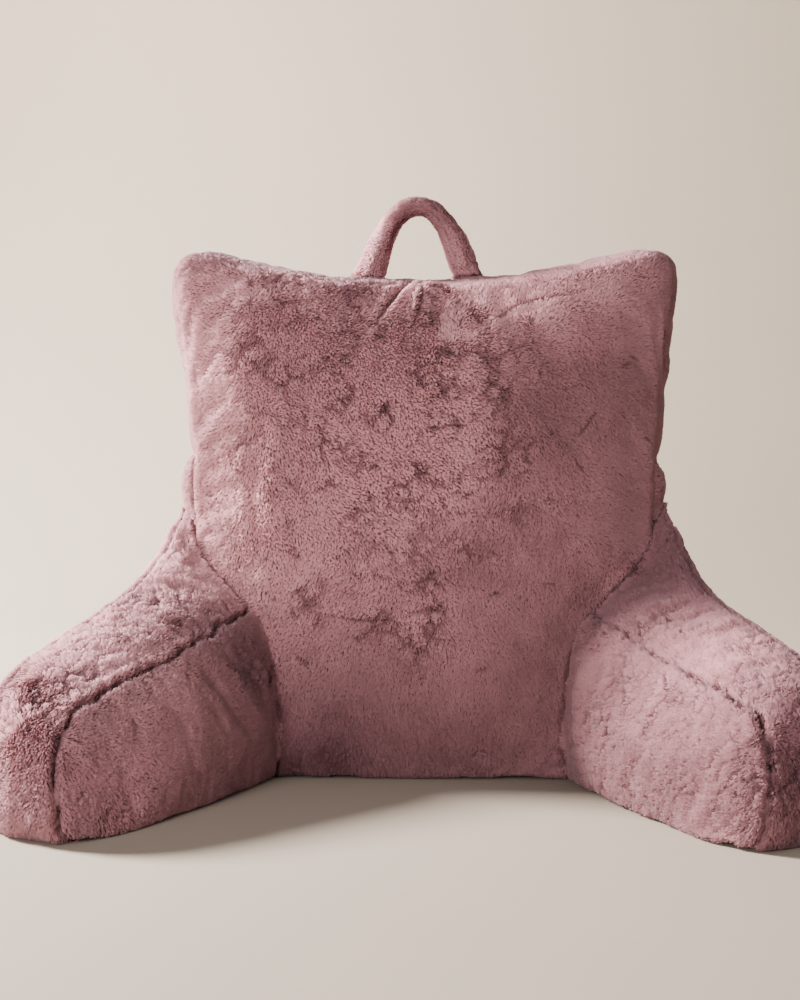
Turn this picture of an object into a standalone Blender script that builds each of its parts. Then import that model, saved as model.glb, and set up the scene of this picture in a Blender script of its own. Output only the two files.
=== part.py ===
"""Reading pillow with arms: a filled backrest, two filled arms and a padded carrying loop.

Units are metres and +Z is up. The reader leans on the face that looks along -Y, the arms reach
forward from it, and the pillow stands on its flat base at Z = 0. Each filled piece is one closed
solid with the form of a boxed cushion: a crowned panel, a seam, a strip, a seam, another panel.
"""
import math

import bmesh
import bpy
import numpy as np

# Driving dimensions of the backrest
FRONT_FOOT = 0.0574         # Y of the front panel's lower edge
REAR_PLANE = 0.1974         # Y of the rear seam, which stands upright
LEAN = 0.054                # how far the front seam leans back between the base and the ears
EAR_HEIGHT = 0.462          # height of the seam at the ears' tips
PANEL_CENTRE = 0.225        # height of the panels' highest crown
FRONT_CROWN = 0.045
REAR_CROWN = 0.017
BOXING_BULGE = 0.007

# Driving dimensions of the arms
SPLAY = math.radians(20.0)  # the arms open outwards by this angle
ARM_ROOT = (0.200, FRONT_FOOT)
INNER_CROWN = 0.033
OUTER_CROWN = 0.056
GUSSET_BULGE = 0.006

# Driving dimensions of the carrying loop
LOOP_X = -0.0060            # the loop stands this far off the middle
LOOP_Y = 0.1514             # and in the middle of the top strip
LOOP_DEPTH = 1.10           # how much deeper than wide the tube is

SETTLE = 0.007              # the filled pieces sink by this much into their flat base
CLEARANCE = 0.0005          # gap between a piece and its neighbour

BACKREST_SPAN = 2           # points to each row of the backrest's outline
ARM_SPAN = 3                # points to each row of an arm's seams
LOOP_SIDES = 16
LOOP_SPAN = 3               # stations to each row of the loop's path

# One side of the backrest's seam: half width and height, from the middle of the base upwards
BACKREST_OUTLINE = (
    # place            half width  height
    ("base middle",    0.000,      0.000),
    ("base",           0.075,      0.000),
    ("base side",      0.150,      0.000),
    ("lower corner",   0.190,      0.004),
    ("corner",         0.201,      0.022),
    ("hip",            0.203,      0.070),
    ("lower side",     0.203,      0.140),
    ("waist",          0.203,      0.215),
    ("rib",            0.206,      0.285),
    ("upper side",     0.212,      0.350),
    ("cheek",          0.219,      0.410),
    ("ear root",       0.222,      0.440),
    ("ear side",       0.2235,     0.455),
    ("ear tip",        0.217,      0.467),
    ("ear top",        0.203,      0.4705),
    ("brow",           0.175,      0.464),
    ("top side",       0.120,      0.4525),
    ("top inner",      0.060,      0.445),
    ("top middle",     0.000,      0.442),
)

# The trimmer's lower corners, so that no sliver of an arm is left under the backrest's round ones
SQUARE_CORNER = {"lower corner": (0.2025, 0.000), "corner": (0.203, 0.014)}

# The two seams of an arm at the same places around it. "along" runs forward from the root,
# "across" runs outwards and "height" runs up. "fullness" is how fast the outer panel swells from
# its seam there: it lies close to the backrest's side at the root and is fullest at the front
ARM_SEAMS = (
    # place             inner seam: along, across, height    outer seam: along, across, height   fullness
    ("rear foot",       (-0.112, -0.052, 0.000),             (-0.105, 0.045, 0.000),             0.50),
    ("root foot",       (-0.010, -0.057, 0.000),             (-0.010, 0.040, 0.000),             0.70),
    ("middle foot",     (0.110, -0.056, 0.000),              (0.115, 0.040, 0.000),              1.00),
    ("toe",             (0.243, -0.051, 0.000),              (0.239, 0.034, 0.000),              1.00),
    ("low nose",        (0.2695, -0.041, 0.014),             (0.2575, 0.028, 0.016),             1.00),
    ("nose",            (0.2757, -0.035, 0.048),             (0.2627, 0.024, 0.052),             1.00),
    ("high nose",       (0.263, -0.030, 0.078),              (0.251, 0.030, 0.088),              1.00),
    ("front top",       (0.236, -0.027, 0.102),              (0.222, 0.040, 0.120),              0.90),
    ("outer top",       (0.180, -0.033, 0.117),              (0.172, 0.036, 0.143),              0.80),
    ("middle top",      (0.110, -0.044, 0.132),              (0.108, 0.028, 0.163),              0.60),
    ("inner top",       (0.050, -0.052, 0.146),              (0.050, 0.025, 0.184),              0.40),
    ("shoulder",        (-0.005, -0.051, 0.157),             (-0.008, 0.027, 0.220),             0.26),
    ("rear shoulder",   (-0.062, -0.048, 0.168),             (-0.056, 0.039, 0.262),             0.22),
    ("upper rear",      (-0.102, -0.046, 0.144),             (-0.101, 0.046, 0.222),             0.25),
    ("rear",            (-0.120, -0.048, 0.070),             (-0.118, 0.048, 0.100),             0.35),
)
# One leg of the loop's tube, which the other mirrors: how far its centre line stands from the
# loop's middle, its height and the tube's radius. The legs start inside the backrest and lean
# together, and the tube tapers towards the top
LOOP_LEG = (
    # place        spread   height   radius
    ("root",       0.0525,  0.4250,  0.0166),
    ("foot",       0.0440,  0.4480,  0.0151),
    ("lower leg",  0.0382,  0.4645,  0.0131),
    ("upper leg",  0.0318,  0.4810,  0.0113),
    ("bend",       0.0222,  0.4970,  0.0099),
    ("arch",       0.0115,  0.5063,  0.0091),
    ("top",        0.0000,  0.5092,  0.0089),
)
INNER_PANEL_CENTRE = (0.070, -0.052, 0.060)
OUTER_PANEL_CENTRE = (0.110, 0.038, 0.075)

# How far out each ring of a panel lies (1 is the seam) and each ring of a strip (0 to 1)
PANEL_RINGS = (0.985, 0.950, 0.880, 0.760, 0.600, 0.420, 0.220)
STRIP_RINGS = (0.070, 0.230, 0.500, 0.770, 0.930)

PLUSH_COLOUR = (0.430, 0.223, 0.231, 1.0)
LOOP_COLOUR = (0.400, 0.200, 0.209, 1.0)
PLUSH_ROUGHNESS = 0.95


def clear_scene():
    for item in list(bpy.data.objects):
        bpy.data.objects.remove(item, do_unlink=True)


def plush_material(name, colour):
    material = bpy.data.materials.new(name)
    material.use_nodes = True
    shader = material.node_tree.nodes["Principled BSDF"]
    shader.inputs["Base Color"].default_value = colour
    shader.inputs["Roughness"].default_value = PLUSH_ROUGHNESS
    shader.inputs["Metallic"].default_value = 0.0
    return material


def closed_curve(knots, span):
    """Points along a smooth closed curve through the knots, with span points to each knot."""
    knots = np.asarray(knots, dtype=float)
    count = len(knots)
    step = (np.arange(span) / span)[:, None]
    square, cube = step ** 2, step ** 3
    pieces = []
    for index in range(count):
        before, start, end, after = (knots[(index + shift) % count] for shift in (-1, 0, 1, 2))
        chord = np.linalg.norm(end - start)
        leave = (end - before) * chord / (chord + np.linalg.norm(start - before))
        arrive = (after - start) * chord / (chord + np.linalg.norm(after - end))
        pieces.append((2 * cube - 3 * square + 1) * start + (cube - 2 * square + step) * leave
                      + (3 * square - 2 * cube) * end + (cube - square) * arrive)
    return np.vstack(pieces)


def crown_height(ring):
    """How full a panel stands at a ring: 0 at the seam, 1 at the panel's centre."""
    return (1.0 - ring ** 2) ** 0.60


def outward(ring):
    """Unit vectors that point out of a ring, in the ring's own surface."""
    along = np.roll(ring, -1, axis=0) - np.roll(ring, 1, axis=0)
    centre_line = ring - ring.mean(axis=0)
    across = np.cross(along, centre_line).mean(axis=0)
    out = np.cross(np.broadcast_to(across, along.shape), along)
    out *= np.sign((out * centre_line).sum(axis=1).mean())
    return out / np.linalg.norm(out, axis=1)[:, None]


def panel_rings(seam, centre, crown, fullness=1.0):
    """Rings of a crowned panel from its seam to its centre, and the centre point.

    The seam's bends fade towards the centre as they do in a stretched film: a bend that repeats
    n times around the seam shrinks with the nth power of the distance from the centre.
    """
    centre = np.asarray(centre, dtype=float)
    crown = np.asarray(crown, dtype=float)
    fullness = np.broadcast_to(fullness, len(seam))
    bends = np.fft.rfft(np.column_stack((seam, fullness)), axis=0)
    repeats = np.arange(len(bends))[:, None]
    shift = centre - seam.mean(axis=0)
    rings = []
    for ring in PANEL_RINGS:
        film = np.fft.irfft(bends * ring ** repeats, len(seam), axis=0)
        swell = film[:, 3:] * crown_height(ring)
        rings.append(film[:, :3] + shift * (1.0 - ring ** 2) + crown * swell)
    return rings, centre + crown * fullness.mean()


def strip_rings(first, second, bulge):
    """Rings of the strip between two seams, swollen by its filling."""
    rings = []
    for step in STRIP_RINGS:
        ring = first * (1.0 - step) + second * step
        rings.append(ring + outward(ring) * bulge * math.sin(math.pi * step) ** 0.7)
    return rings


def settle(points):
    """Sink the points into a flat base at Z = 0."""
    points = np.array(points, dtype=float)
    points[:, 2] = np.maximum(points[:, 2] - SETTLE, 0.0)
    return points


def boxed_cushion(first_seam, second_seam, first_panel, second_panel, bulge):
    """Vertices and faces of a closed solid: panel, seam, strip, seam, panel.

    Each panel is given by its centre, its crown and its fullness where that varies. The rings
    run from the first panel's centre to the second's.
    """
    first_rings, first_pole = panel_rings(first_seam, *first_panel)
    second_rings, second_pole = panel_rings(second_seam, *second_panel)
    rings = first_rings[::-1] + [first_seam]
    rings += strip_rings(first_seam, second_seam, bulge)
    rings += [second_seam] + second_rings
    sides = len(first_seam)
    vertices = np.vstack([settle(ring) for ring in rings + [[first_pole, second_pole]]])
    first_index, second_index = len(rings) * sides, len(rings) * sides + 1
    last = (len(rings) - 1) * sides
    faces = []
    for side in range(sides):
        following = (side + 1) % sides
        faces.append((first_index, following, side))
        faces.append((second_index, last + side, last + following))
        for ring in range(len(rings) - 1):
            low, high = ring * sides, (ring + 1) * sides
            faces.append((low + side, low + following, high + following, high + side))
    return vertices, faces


def mesh_object(name, vertices, faces, material=None):
    """An object whose mesh is closed and has its faces pointing out."""
    mesh = bpy.data.meshes.new(name)
    mesh.from_pydata([tuple(point) for point in vertices], [], faces)
    shape = bmesh.new()
    shape.from_mesh(mesh)
    bmesh.ops.recalc_face_normals(shape, faces=shape.faces)
    bmesh.ops.triangulate(shape, faces=shape.faces)
    shape.to_mesh(mesh)
    shape.free()
    mesh.shade_smooth()
    if material:
        mesh.materials.append(material)
    item = bpy.data.objects.new(name, mesh)
    bpy.context.scene.collection.objects.link(item)
    return item


def backrest_shape(outline_rows=BACKREST_OUTLINE):
    right = [(width, height) for _, width, height in outline_rows]
    left = [(-width, height) for width, height in right[-2:0:-1]]
    outline = closed_curve(right + left, BACKREST_SPAN)
    lean = FRONT_FOOT + LEAN * np.clip(outline[:, 1] / EAR_HEIGHT, 0.0, None)
    front = np.column_stack((outline[:, 0], lean, outline[:, 1]))
    rear = np.column_stack((outline[:, 0], np.full(len(outline), REAR_PLANE), outline[:, 1]))
    front_centre = (0.0, FRONT_FOOT + LEAN * PANEL_CENTRE / EAR_HEIGHT, PANEL_CENTRE)
    front_panel = (front_centre, (0.0, -FRONT_CROWN, 0.0))
    rear_panel = ((0.0, REAR_PLANE, PANEL_CENTRE), (0.0, REAR_CROWN, 0.0))
    return boxed_cushion(front, rear, front_panel, rear_panel, BOXING_BULGE)


def build_backrest(material):
    vertices, faces = backrest_shape()
    return mesh_object("backrest", vertices, faces, material)


def build_trimmer():
    """The backrest grown by the clearance, with square lower corners, which trims what is sewn
    to it."""
    rows = [(place,) + SQUARE_CORNER.get(place, (width, height))
            for place, width, height in BACKREST_OUTLINE]
    vertices, faces = backrest_shape(rows)
    trimmer = mesh_object("trimmer", vertices, faces)
    normals = [vertex.normal.copy() for vertex in trimmer.data.vertices]
    for vertex, normal in zip(trimmer.data.vertices, normals):
        vertex.co += normal * CLEARANCE
    trimmer.hide_render = True
    trimmer.display_type = 'WIRE'
    return trimmer


def trim(item, trimmer):
    cut = item.modifiers.new("trim", 'BOOLEAN')
    cut.operation = 'DIFFERENCE'
    cut.solver = 'EXACT'
    cut.object = trimmer


def build_arm(name, side, trimmer, material):
    """An arm on the +X side (side = 1) or the -X side (side = -1)."""
    forward = np.array((math.sin(SPLAY), -math.cos(SPLAY), 0.0))
    across = np.array((math.cos(SPLAY), math.sin(SPLAY), 0.0))
    up = np.array((0.0, 0.0, 1.0))
    root = np.array((ARM_ROOT[0], ARM_ROOT[1], 0.0))

    def place(local):
        local = np.atleast_2d(local)
        placed = root + local[:, :1] * forward + local[:, 1:2] * across + local[:, 2:] * up
        return placed * np.array((side, 1.0, 1.0))

    knots = [inner + outer + (fullness,) for _, inner, outer, fullness in ARM_SEAMS]
    seams = closed_curve(knots, ARM_SPAN)
    out = across * np.array((side, 1.0, 1.0))
    inner_panel = (place(INNER_PANEL_CENTRE)[0], -out * INNER_CROWN)
    outer_panel = (place(OUTER_PANEL_CENTRE)[0], out * OUTER_CROWN, seams[:, 6])
    vertices, faces = boxed_cushion(place(seams[:, :3]), place(seams[:, 3:6]), inner_panel,
                                    outer_panel, GUSSET_BULGE)
    arm = mesh_object(name, vertices, faces, material)
    trim(arm, trimmer)
    return arm


def open_curve(knots, span):
    """Points along a smooth open curve through the knots, with span points to each knot."""
    knots = np.asarray(knots, dtype=float)
    ends = np.vstack((2.0 * knots[0] - knots[1], knots, 2.0 * knots[-1] - knots[-2]))
    step = (np.arange(span) / span)[:, None]
    square, cube = step ** 2, step ** 3
    pieces = []
    for index in range(1, len(ends) - 2):
        before, start, end, after = ends[index - 1:index + 3]
        leave, arrive = (end - before) / 2.0, (after - start) / 2.0
        pieces.append((2 * cube - 3 * square + 1) * start + (cube - 2 * square + step) * leave
                      + (3 * square - 2 * cube) * end + (cube - square) * arrive)
    return np.vstack(pieces + [knots[-1:]])


def build_loop(trimmer, material):
    left = [(-spread, height, radius) for _, spread, height, radius in LOOP_LEG]
    right = [(spread, height, radius) for _, spread, height, radius in LOOP_LEG[-2::-1]]
    stations = open_curve(left + right, LOOP_SPAN)
    path = np.column_stack((stations[:, 0] + LOOP_X, np.full(len(stations), LOOP_Y),
                            stations[:, 1]))
    along = np.gradient(path, axis=0)
    deep = np.array((0.0, 1.0, 0.0))
    wide = np.cross(along, deep)
    wide /= np.linalg.norm(wide, axis=1)[:, None]
    turns = 2.0 * np.pi * np.arange(LOOP_SIDES) / LOOP_SIDES
    vertices = []
    for centre, aside, radius in zip(path, wide, stations[:, 2]):
        for turn in turns:
            spread = aside * math.cos(turn) + deep * math.sin(turn) * LOOP_DEPTH
            vertices.append(centre + spread * radius)
    faces = []
    last = (len(path) - 1) * LOOP_SIDES
    for low in range(0, last, LOOP_SIDES):
        high = low + LOOP_SIDES
        for spoke in range(LOOP_SIDES):
            following = (spoke + 1) % LOOP_SIDES
            faces.append((low + spoke, low + following, high + following, high + spoke))
    faces.append(tuple(range(LOOP_SIDES)))
    faces.append(tuple(last + spoke for spoke in range(LOOP_SIDES)))
    loop = mesh_object("handle", vertices, faces, material)
    trim(loop, trimmer)
    return loop


def main():
    clear_scene()
    trimmer = build_trimmer()
    build_backrest(plush_material("backrest plush", PLUSH_COLOUR))
    build_arm("arm_right", 1, trimmer, plush_material("right arm plush", PLUSH_COLOUR))
    build_arm("arm_left", -1, trimmer, plush_material("left arm plush", PLUSH_COLOUR))
    build_loop(trimmer, plush_material("handle plush", LOOP_COLOUR))


main()
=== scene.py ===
"""The looks of the reading pillow with arms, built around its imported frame.

Each filled piece gets a cover, which a cloth simulation swells between its seams, and a pile of
short fibres that grows from it. Lengths are metres in the frame's axes: the reader leans on the
face that looks along -Y, the arms reach forward from it and the pillow stands at Z = 0.
"""
import math
from itertools import product

import bpy
import numpy as np
from mathutils import Matrix, Vector
from mathutils.bvhtree import BVHTree
from mathutils.kdtree import KDTree
from numpy.linalg import norm


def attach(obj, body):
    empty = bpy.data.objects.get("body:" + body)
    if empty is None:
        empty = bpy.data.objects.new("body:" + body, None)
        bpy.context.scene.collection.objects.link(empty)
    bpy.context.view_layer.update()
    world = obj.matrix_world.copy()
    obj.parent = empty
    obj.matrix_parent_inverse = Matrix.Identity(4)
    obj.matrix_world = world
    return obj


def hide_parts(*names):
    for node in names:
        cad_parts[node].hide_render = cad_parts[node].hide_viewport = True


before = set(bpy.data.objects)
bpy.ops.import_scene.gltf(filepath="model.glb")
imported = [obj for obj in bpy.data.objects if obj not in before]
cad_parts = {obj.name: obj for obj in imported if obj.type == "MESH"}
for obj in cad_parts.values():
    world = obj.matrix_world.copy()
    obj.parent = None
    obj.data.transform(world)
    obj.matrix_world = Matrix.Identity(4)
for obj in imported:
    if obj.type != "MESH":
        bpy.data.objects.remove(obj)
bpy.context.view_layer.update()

# The pile and the cover under it
PILE_DEPTH = 0.0030         # the cover lies this far inside the filled piece's outer surface
HANDLE_PILE_DEPTH = 0.0018
COVER_DROP = 0.0010         # and the shown cover this far below the fibres' roots
FIBRE_RISE = 0.0020         # how high a fibre stands over its root
FIBRE_REACH = 0.0036        # how far it leans along the brushed direction
FIBRE_WIDTH = 0.00112
FIBRE_SINK = 0.0008         # roots start this far below the skin
BLUNT_SHARE = 0.6           # share of the fibres that are wide at the tip, the rest are pointed
GLOW = 0.45                 # share of the light that passes through a fibre
BASE_LIFT = 0.0010          # clearance of the cover over the floor
LOWEST_FIBRE = 0.0006       # no fibre reaches further down
SEWN_GAP = 0.0012           # a piece is sewn to the backrest where it comes this close
CURVE_STEP = 0.0015         # spacing of the points along seams, creases and joints
RELIEF_STEP = 0.0008        # slopes are measured over this length
ON_SKIN = 0.013             # points of a seam that are further off the skin are left out
NARROW = 0.0045             # a crease narrower than this wanders and parts the pile
PARTING_LEAN = 0.0060       # how far a full parting moves a fibre's tip
STEEPEST = 1.3              # slopes are held to this
# Painted shade: the pile's colour is darkened at the bottom of cracks, creases and seam partings
PAINTED_CRACK_SHADE = 0.66          # how much darker the pile is at the bottom of a crack

# The pile gathers in clumps with cracks between them
TUFT = 0.0027
CLUMPS = (
    # size    dome    crack   crack's half width
    (0.0065,  0.0005, 0.0005, 0.00075),
    (0.0150,  0.0013, 0.0014, 0.00110),
)
UNEVENNESS = (
    # height  size   seed
    (0.0014,  0.095, 11),
    (0.0011,  0.042, 23),
    (0.0006,  0.019, 37),
)
STREAK_WIDTH = 0.0019
STREAK_STEPS = (-0.0056, -0.0028, 0.0, 0.0028, 0.0056)

# The cloth simulation that fills the covers
VOXEL = {"backrest": 0.0060, "arm_left": 0.0052, "arm_right": 0.0052}
SWELL = 0.0045              # panels start this much slacker than they end
SWELL_CAP = 0.0060          # a point may move no further than this
CLOTH_FRAMES = 20
CLOTH = {"quality": 5, "mass": 0.3, "tension_stiffness": 12.0, "compression_stiffness": 12.0,
         "bending_stiffness": 0.4, "shrink_min": -0.012, "use_pressure": True,
         "uniform_pressure_force": 4.0}

# The tables below are in millimetres. Places are in the frame's axes, or on an arm in its own:
# along runs forward from the root, across runs outwards and height runs up.
MM = 1000.0

# The backrest's seams along one side, from the base's middle upwards
BACKREST_OUTLINE = (
    # half width, height
    (0, 0), (75, 0), (150, 0), (190, 4), (201, 22), (203, 70), (203, 140), (203, 215), (206, 285),
    (212, 350), (219, 410), (222, 440), (223.5, 455), (217, 467), (203, 470.5), (175, 464),
    (120, 452.5), (60, 445), (0, 442),
)
FRONT_FOOT = 0.0574         # Y of the front panel's lower edge
REAR_PLANE = 0.1974         # Y of the rear seam
LEAN = 0.054                # how far the front seam leans back between the base and the ears
EAR_HEIGHT = 0.462
SETTLE = 0.007              # the seams sink by this much into the flat base

# An arm's two seams
ARM_SEAMS = (
    # inner seam: along, across, height; outer seam: along, across, height
    ((-112, -52, 0),   (-105, 45, 0)),
    ((-10, -57, 0),    (-10, 40, 0)),
    ((110, -56, 0),    (115, 40, 0)),
    ((243, -51, 0),    (239, 34, 0)),
    ((269.5, -41, 14), (257.5, 28, 16)),
    ((275.7, -35, 48), (262.7, 24, 52)),
    ((263, -30, 78),   (251, 30, 88)),
    ((236, -27, 102),  (222, 40, 120)),
    ((180, -33, 117),  (172, 36, 143)),
    ((110, -44, 132),  (108, 28, 163)),
    ((50, -52, 146),   (50, 25, 184)),
    ((-5, -51, 157),   (-8, 27, 220)),
    ((-62, -48, 168),  (-56, 39, 262)),
    ((-102, -46, 144), (-101, 46, 222)),
    ((-120, -48, 70),  (-118, 48, 100)),
)
ARM_ROOT = (0.200, FRONT_FOOT)
SPLAY = math.radians(20.0)

# One leg of the carrying loop's tube, which the other mirrors
LOOP_X = -0.0060
LOOP_Y = 0.1514
LOOP_LEG = (
    # spread, height, radius
    (52.5, 425, 16.6), (44, 448, 15.1), (38.2, 464.5, 13.1), (31.8, 481, 11.3), (22.2, 497, 9.9),
    (11.5, 506.3, 9.1), (0, 509.2, 8.9),
)

# Creases pressed into the pile, and where the depth is negative, broad soft rolls. A path is seen
# from one side of its piece and gives the two coordinates that show there, on an arm those of
# its own axes. The lip is a low roll beside the crease, on its left where it is positive.
CREASES = {
    # depth, width, lip, path
    ("backrest", "front"): (
        (5.6, 3.2, 2.8, ((-12, 438), (-26, 424), (-44, 400))),
        (3.2, 1.7, -1, ((-2, 432), (-4, 415), (-10, 394))),
        (2.8, 1.4, 0.3, ((46, 385), (66, 403), (100, 417.5), (150, 429))),
        (2, 1.8, 0.6, ((152, 323), (144, 311), (136, 299))),
        (2, 1.7, 0.6, ((-82, 147), (-52, 143), (-24, 143))),
        (1.4, 2.4, 0.5, ((-14, 146), (8, 152), (24, 147))),
        (-4.5, 11, 0, ((6, 438), (-6, 418), (-22, 394))),
        (2.5, 12, 0, ((-40, 436), (-56, 418), (-66, 396))),
        (-2.4, 8, 0, ((-122, 345), (-130, 275), (-128, 205))),
        (2, 7, 0, ((-142, 310), (-147, 260), (-142, 210))),
        (2.2, 7, 0, ((-106, 310), (-112, 255), (-108, 205))),
    ),
    ("backrest", "left"): (
        (-11, 18, 0, ((112, 282), (108, 255), (104, 222))),
        (-4, 26, 0, ((125, 455), (125, 410), (120, 360))),
    ),
    ("backrest", "right"): ((-9, 18, 0, ((112, 275), (108, 250), (104, 222))),),
    ("arm_left", "inner"): (
        (2.8, 7, 0, ((96, 112), (80, 80), (50, 45))),
        (-2.6, 7.5, 0, ((74, 118), (56, 85), (30, 50))),
        (2.6, 7, 0, ((52, 120), (36, 90), (12, 55))),
    ),
    ("arm_left", "outer"): ((5.5, 22, 0, ((-85, 225), (-55, 245), (-20, 215))),),
    ("arm_left", "nose"): ((-5, 16, 0, ((-45, 16), (-10, 14), (25, 16))),),
    ("arm_right", "inner"): (
        (3.2, 6.5, 0, ((20, 120), (14, 80), (22, 35))),
        (-2.8, 7, 0, ((34, 120), (30, 80), (40, 35))),
        (3, 5.5, 0, ((62, 110), (52, 80), (60, 45))),
    ),
    ("arm_right", "outer"): ((5, 22, 0, ((-85, 225), (-55, 245), (-20, 215))),),
    ("arm_right", "top"): (
        (-3.2, 6, 0, ((40, -40), (62, -10), (64, 16))),
        (3, 5.5, 0, ((76, -30), (90, -6), (92, 16))),
        (-2.8, 6, 0, ((104, -30), (118, -6), (120, 20))),
    ),
    ("arm_right", "nose"): ((-2.5, 16, 0, ((-45, 16), (-10, 14), (25, 16))),),
    ("handle", "front"): ((-3, 15, 0, ((30, 450), (26, 468), (20, 486))),),
}

# The axis that each side is seen along and where on it the view starts, in metres
VIEWS = {"front": (1, -0.4), "left": (0, -0.4), "right": (0, 0.4), "inner": (1, -0.2),
         "outer": (1, 0.2), "top": (2, 0.4), "nose": (0, 0.4)}

# How the pile is brushed: near each place it lies along the direction
BRUSHING = {
    # x, y, z, reach, direction
    "front": (
        (-195, 70, 430, 50, -0.7, 0.7, 0.1), (-205, 70, 340, 50, -0.8, 0.7, -0.3),
        (-200, 70, 250, 50, -0.8, 0.7, -0.5), (-120, 70, 445, 40, -0.3, 0.8, 0.8),
        (-30, 70, 440, 40, 0.4, 0.8, 0.8), (60, 70, 440, 40, 0.1, 0.8, 0.8),
        (140, 70, 450, 40, 0.5, 0.8, 0.6), (205, 70, 430, 50, 0.6, 0.9, 0.1),
        (200, 70, 385, 35, 1.2, 1.8, -0.2), (210, 70, 330, 50, 0.6, 1.0, -0.3),
        (205, 70, 240, 50, 0.6, 0.9, -0.4), (-120, 40, 370, 55, 0.7, 0.0, -0.7),
        (-40, 40, 390, 50, 0.3, 0.0, -1.0), (-20, 40, 310, 60, 1.0, 0.0, -0.45),
        (-120, 40, 250, 55, 0.8, 0.0, -0.6), (90, 40, 300, 60, 0.5, 0.0, -0.8),
        (100, 50, 390, 50, 0.9, 0.0, -0.3), (-100, 50, 140, 70, -0.3, 0.0, -0.9),
        (120, 50, 130, 80, 0.45, 0.0, -0.9), (0, 50, 60, 80, 0.05, 0.0, -1.0),
    ),
    "arm": (
        (60, -80, 70, 90, -0.8, 0.0, 0.35), (190, -70, 70, 80, -0.75, 0.0, -0.2),
        (60, -10, 190, 70, -0.8, 0.3, 0.5), (180, 0, 140, 70, -0.9, 0.2, 0.2),
        (275, 0, 40, 35, -0.1, 0.0, -1.0), (100, 90, 80, 120, 0.2, 0.0, -1.0),
    ),
}
BRUSH_BASE = {"front": (0.0, 0.0, -0.35), "arm": (-0.10, 0.0, -0.30),
              "side": (0.0, 0.45, -0.55), "rear": (0.0, 0.0, -1.0)}

# Painted light and shade: the pile is painted paler where light falls (above 0), darker where shade
# falls (below 0)
PAINTED_LIGHT_AND_SHADE = {
    # x, y, z, reach, change of tone
    "backrest": (
        (-195, 70, 430, 40, 0.55), (-125, 60, 440, 48, 1.1), (10, 60, 440, 48, 1.4),
        (110, 60, 445, 48, 1.0), (200, 70, 430, 40, 0.12), (-180, 60, 350, 50, 0.5),
        (-180, 60, 250, 55, 0.4), (-125, 50, 330, 45, 0.22), (-120, 50, 255, 50, 0.25),
        (-145, 60, 190, 55, 0.34), (-15, 40, 355, 75, 0.54), (-15, 40, 265, 80, 0.54),
        (-100, 40, 150, 50, 0.15), (0, 50, 135, 50, 0.2), (130, 50, 120, 50, -0.2),
        (-100, 50, 20, 60, -0.34), (20, 50, 30, 60, -0.24), (120, 50, 40, 50, -0.12),
        (180, 60, 340, 45, -0.12), (165, 70, 452, 28, 1.0),
    ),
    "arm_left": (
        (0, -10, 190, 60, 0.7), (150, 0, 140, 80, 0.48), (262, 0, 90, 45, 0.3),
        (40, -70, 110, 60, -0.3), (190, -70, 20, 55, 0.22),
    ),
    "arm_right": (
        (0, 0, 190, 45, -0.22), (150, 0, 140, 70, 0.36), (140, -80, 45, 80, -0.26),
        (205, -70, 40, 45, -0.16), (275, -20, 60, 45, -0.24),
    ),
    "handle": (
        (-62, 140, 455, 32, 1.5), (-50, 140, 478, 24, 1.0), (35, 140, 462, 34, 0.4),
    ),
}

# Painted light above this range no longer raises the tone but turns the fibres' shading normals to
# the light
PAINTED_TONE_RANGE = (-0.30, 0.48)   # above this the tone stays and the pile turns to the light instead
TURN_TO_LIGHT = (-0.85, 0.10, 0.50)

# Where the pile stands in tufts (1) and where it lies smooth (0)
TUFTING = {
    # x, y, z, reach, tufts
    "backrest": (
        (-60, 50, 360, 80, 1.0), (-10, 40, 290, 80, 1.0), (80, 50, 330, 60, 0.75),
        (-90, 50, 230, 60, 0.6), (20, 40, 200, 60, 0.6), (-175, 50, 300, 50, 0.3),
        (175, 50, 330, 50, 0.3), (200, 70, 385, 35, 0.0), (-150, 50, 140, 60, 0.3),
        (0, 50, 60, 70, 0.1), (-5, 50, 135, 40, 1.0), (-85, 50, 140, 40, 0.85),
        (150, 50, 160, 70, 0.25), (60, 40, 430, 50, 0.2), (-40, 50, 440, 35, 0.2),
        (-130, 50, 445, 35, 0.3),
    ),
    "arm_right": (
        (130, -80, 80, 80, 0.75), (220, -10, 110, 60, 0.7), (120, -10, 150, 60, 0.45),
    ),
    "arm_left": (
        (200, -20, 120, 60, 1.0), (110, -30, 145, 45, 0.9), (265, 0, 70, 50, 0.75),
        (140, -80, 60, 90, 0.25),
    ),
}
TUFTING_BASE = 0.5

# Fibres on each pile piece
FIBRES = {"backrest_front_upper_pile": 145000, "backrest_front_lower_pile": 145000,
          "backrest_rear_pile": 125000, "backrest_side_pile": 95000, "arm_left_pile": 172000,
          "arm_right_pile": 172000, "handle_pile": 44000}

LATTICE_MOST = 0xFFFFFF     # a random lattice has this many steps from 0 to 1
# The pile's colours by tone, from the painted shade at the bottom of a crack, through its own pink,
# to the palest painted light
PILE_TONES = (
    (0.00, (0.200, 0.095, 0.102)),
    (0.30, (0.410, 0.216, 0.232)),
    (0.55, (0.545, 0.298, 0.318)),
    (0.75, (0.700, 0.392, 0.415)),
    (1.00, (0.930, 0.555, 0.582)),
)
# Painted shade deep in the pile: each fibre's colour darkens to this towards its root
PILE_ROOT_SHADE = (0.420, 0.225, 0.241, 1.0)

RAY_OUT = Vector((0.31, -0.52, 0.79)).normalized()
NOISE_TURN = np.array(Matrix.Rotation(0.7, 3, Vector((0.3, 1.0, 0.6))), dtype=np.float32)


# ---------------- arithmetic on many points

def unit(vectors):
    return vectors / np.maximum(norm(vectors, axis=-1, keepdims=True), 1e-12)


def dot(first, second):
    return (first * second).sum(axis=-1, keepdims=True)


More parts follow.
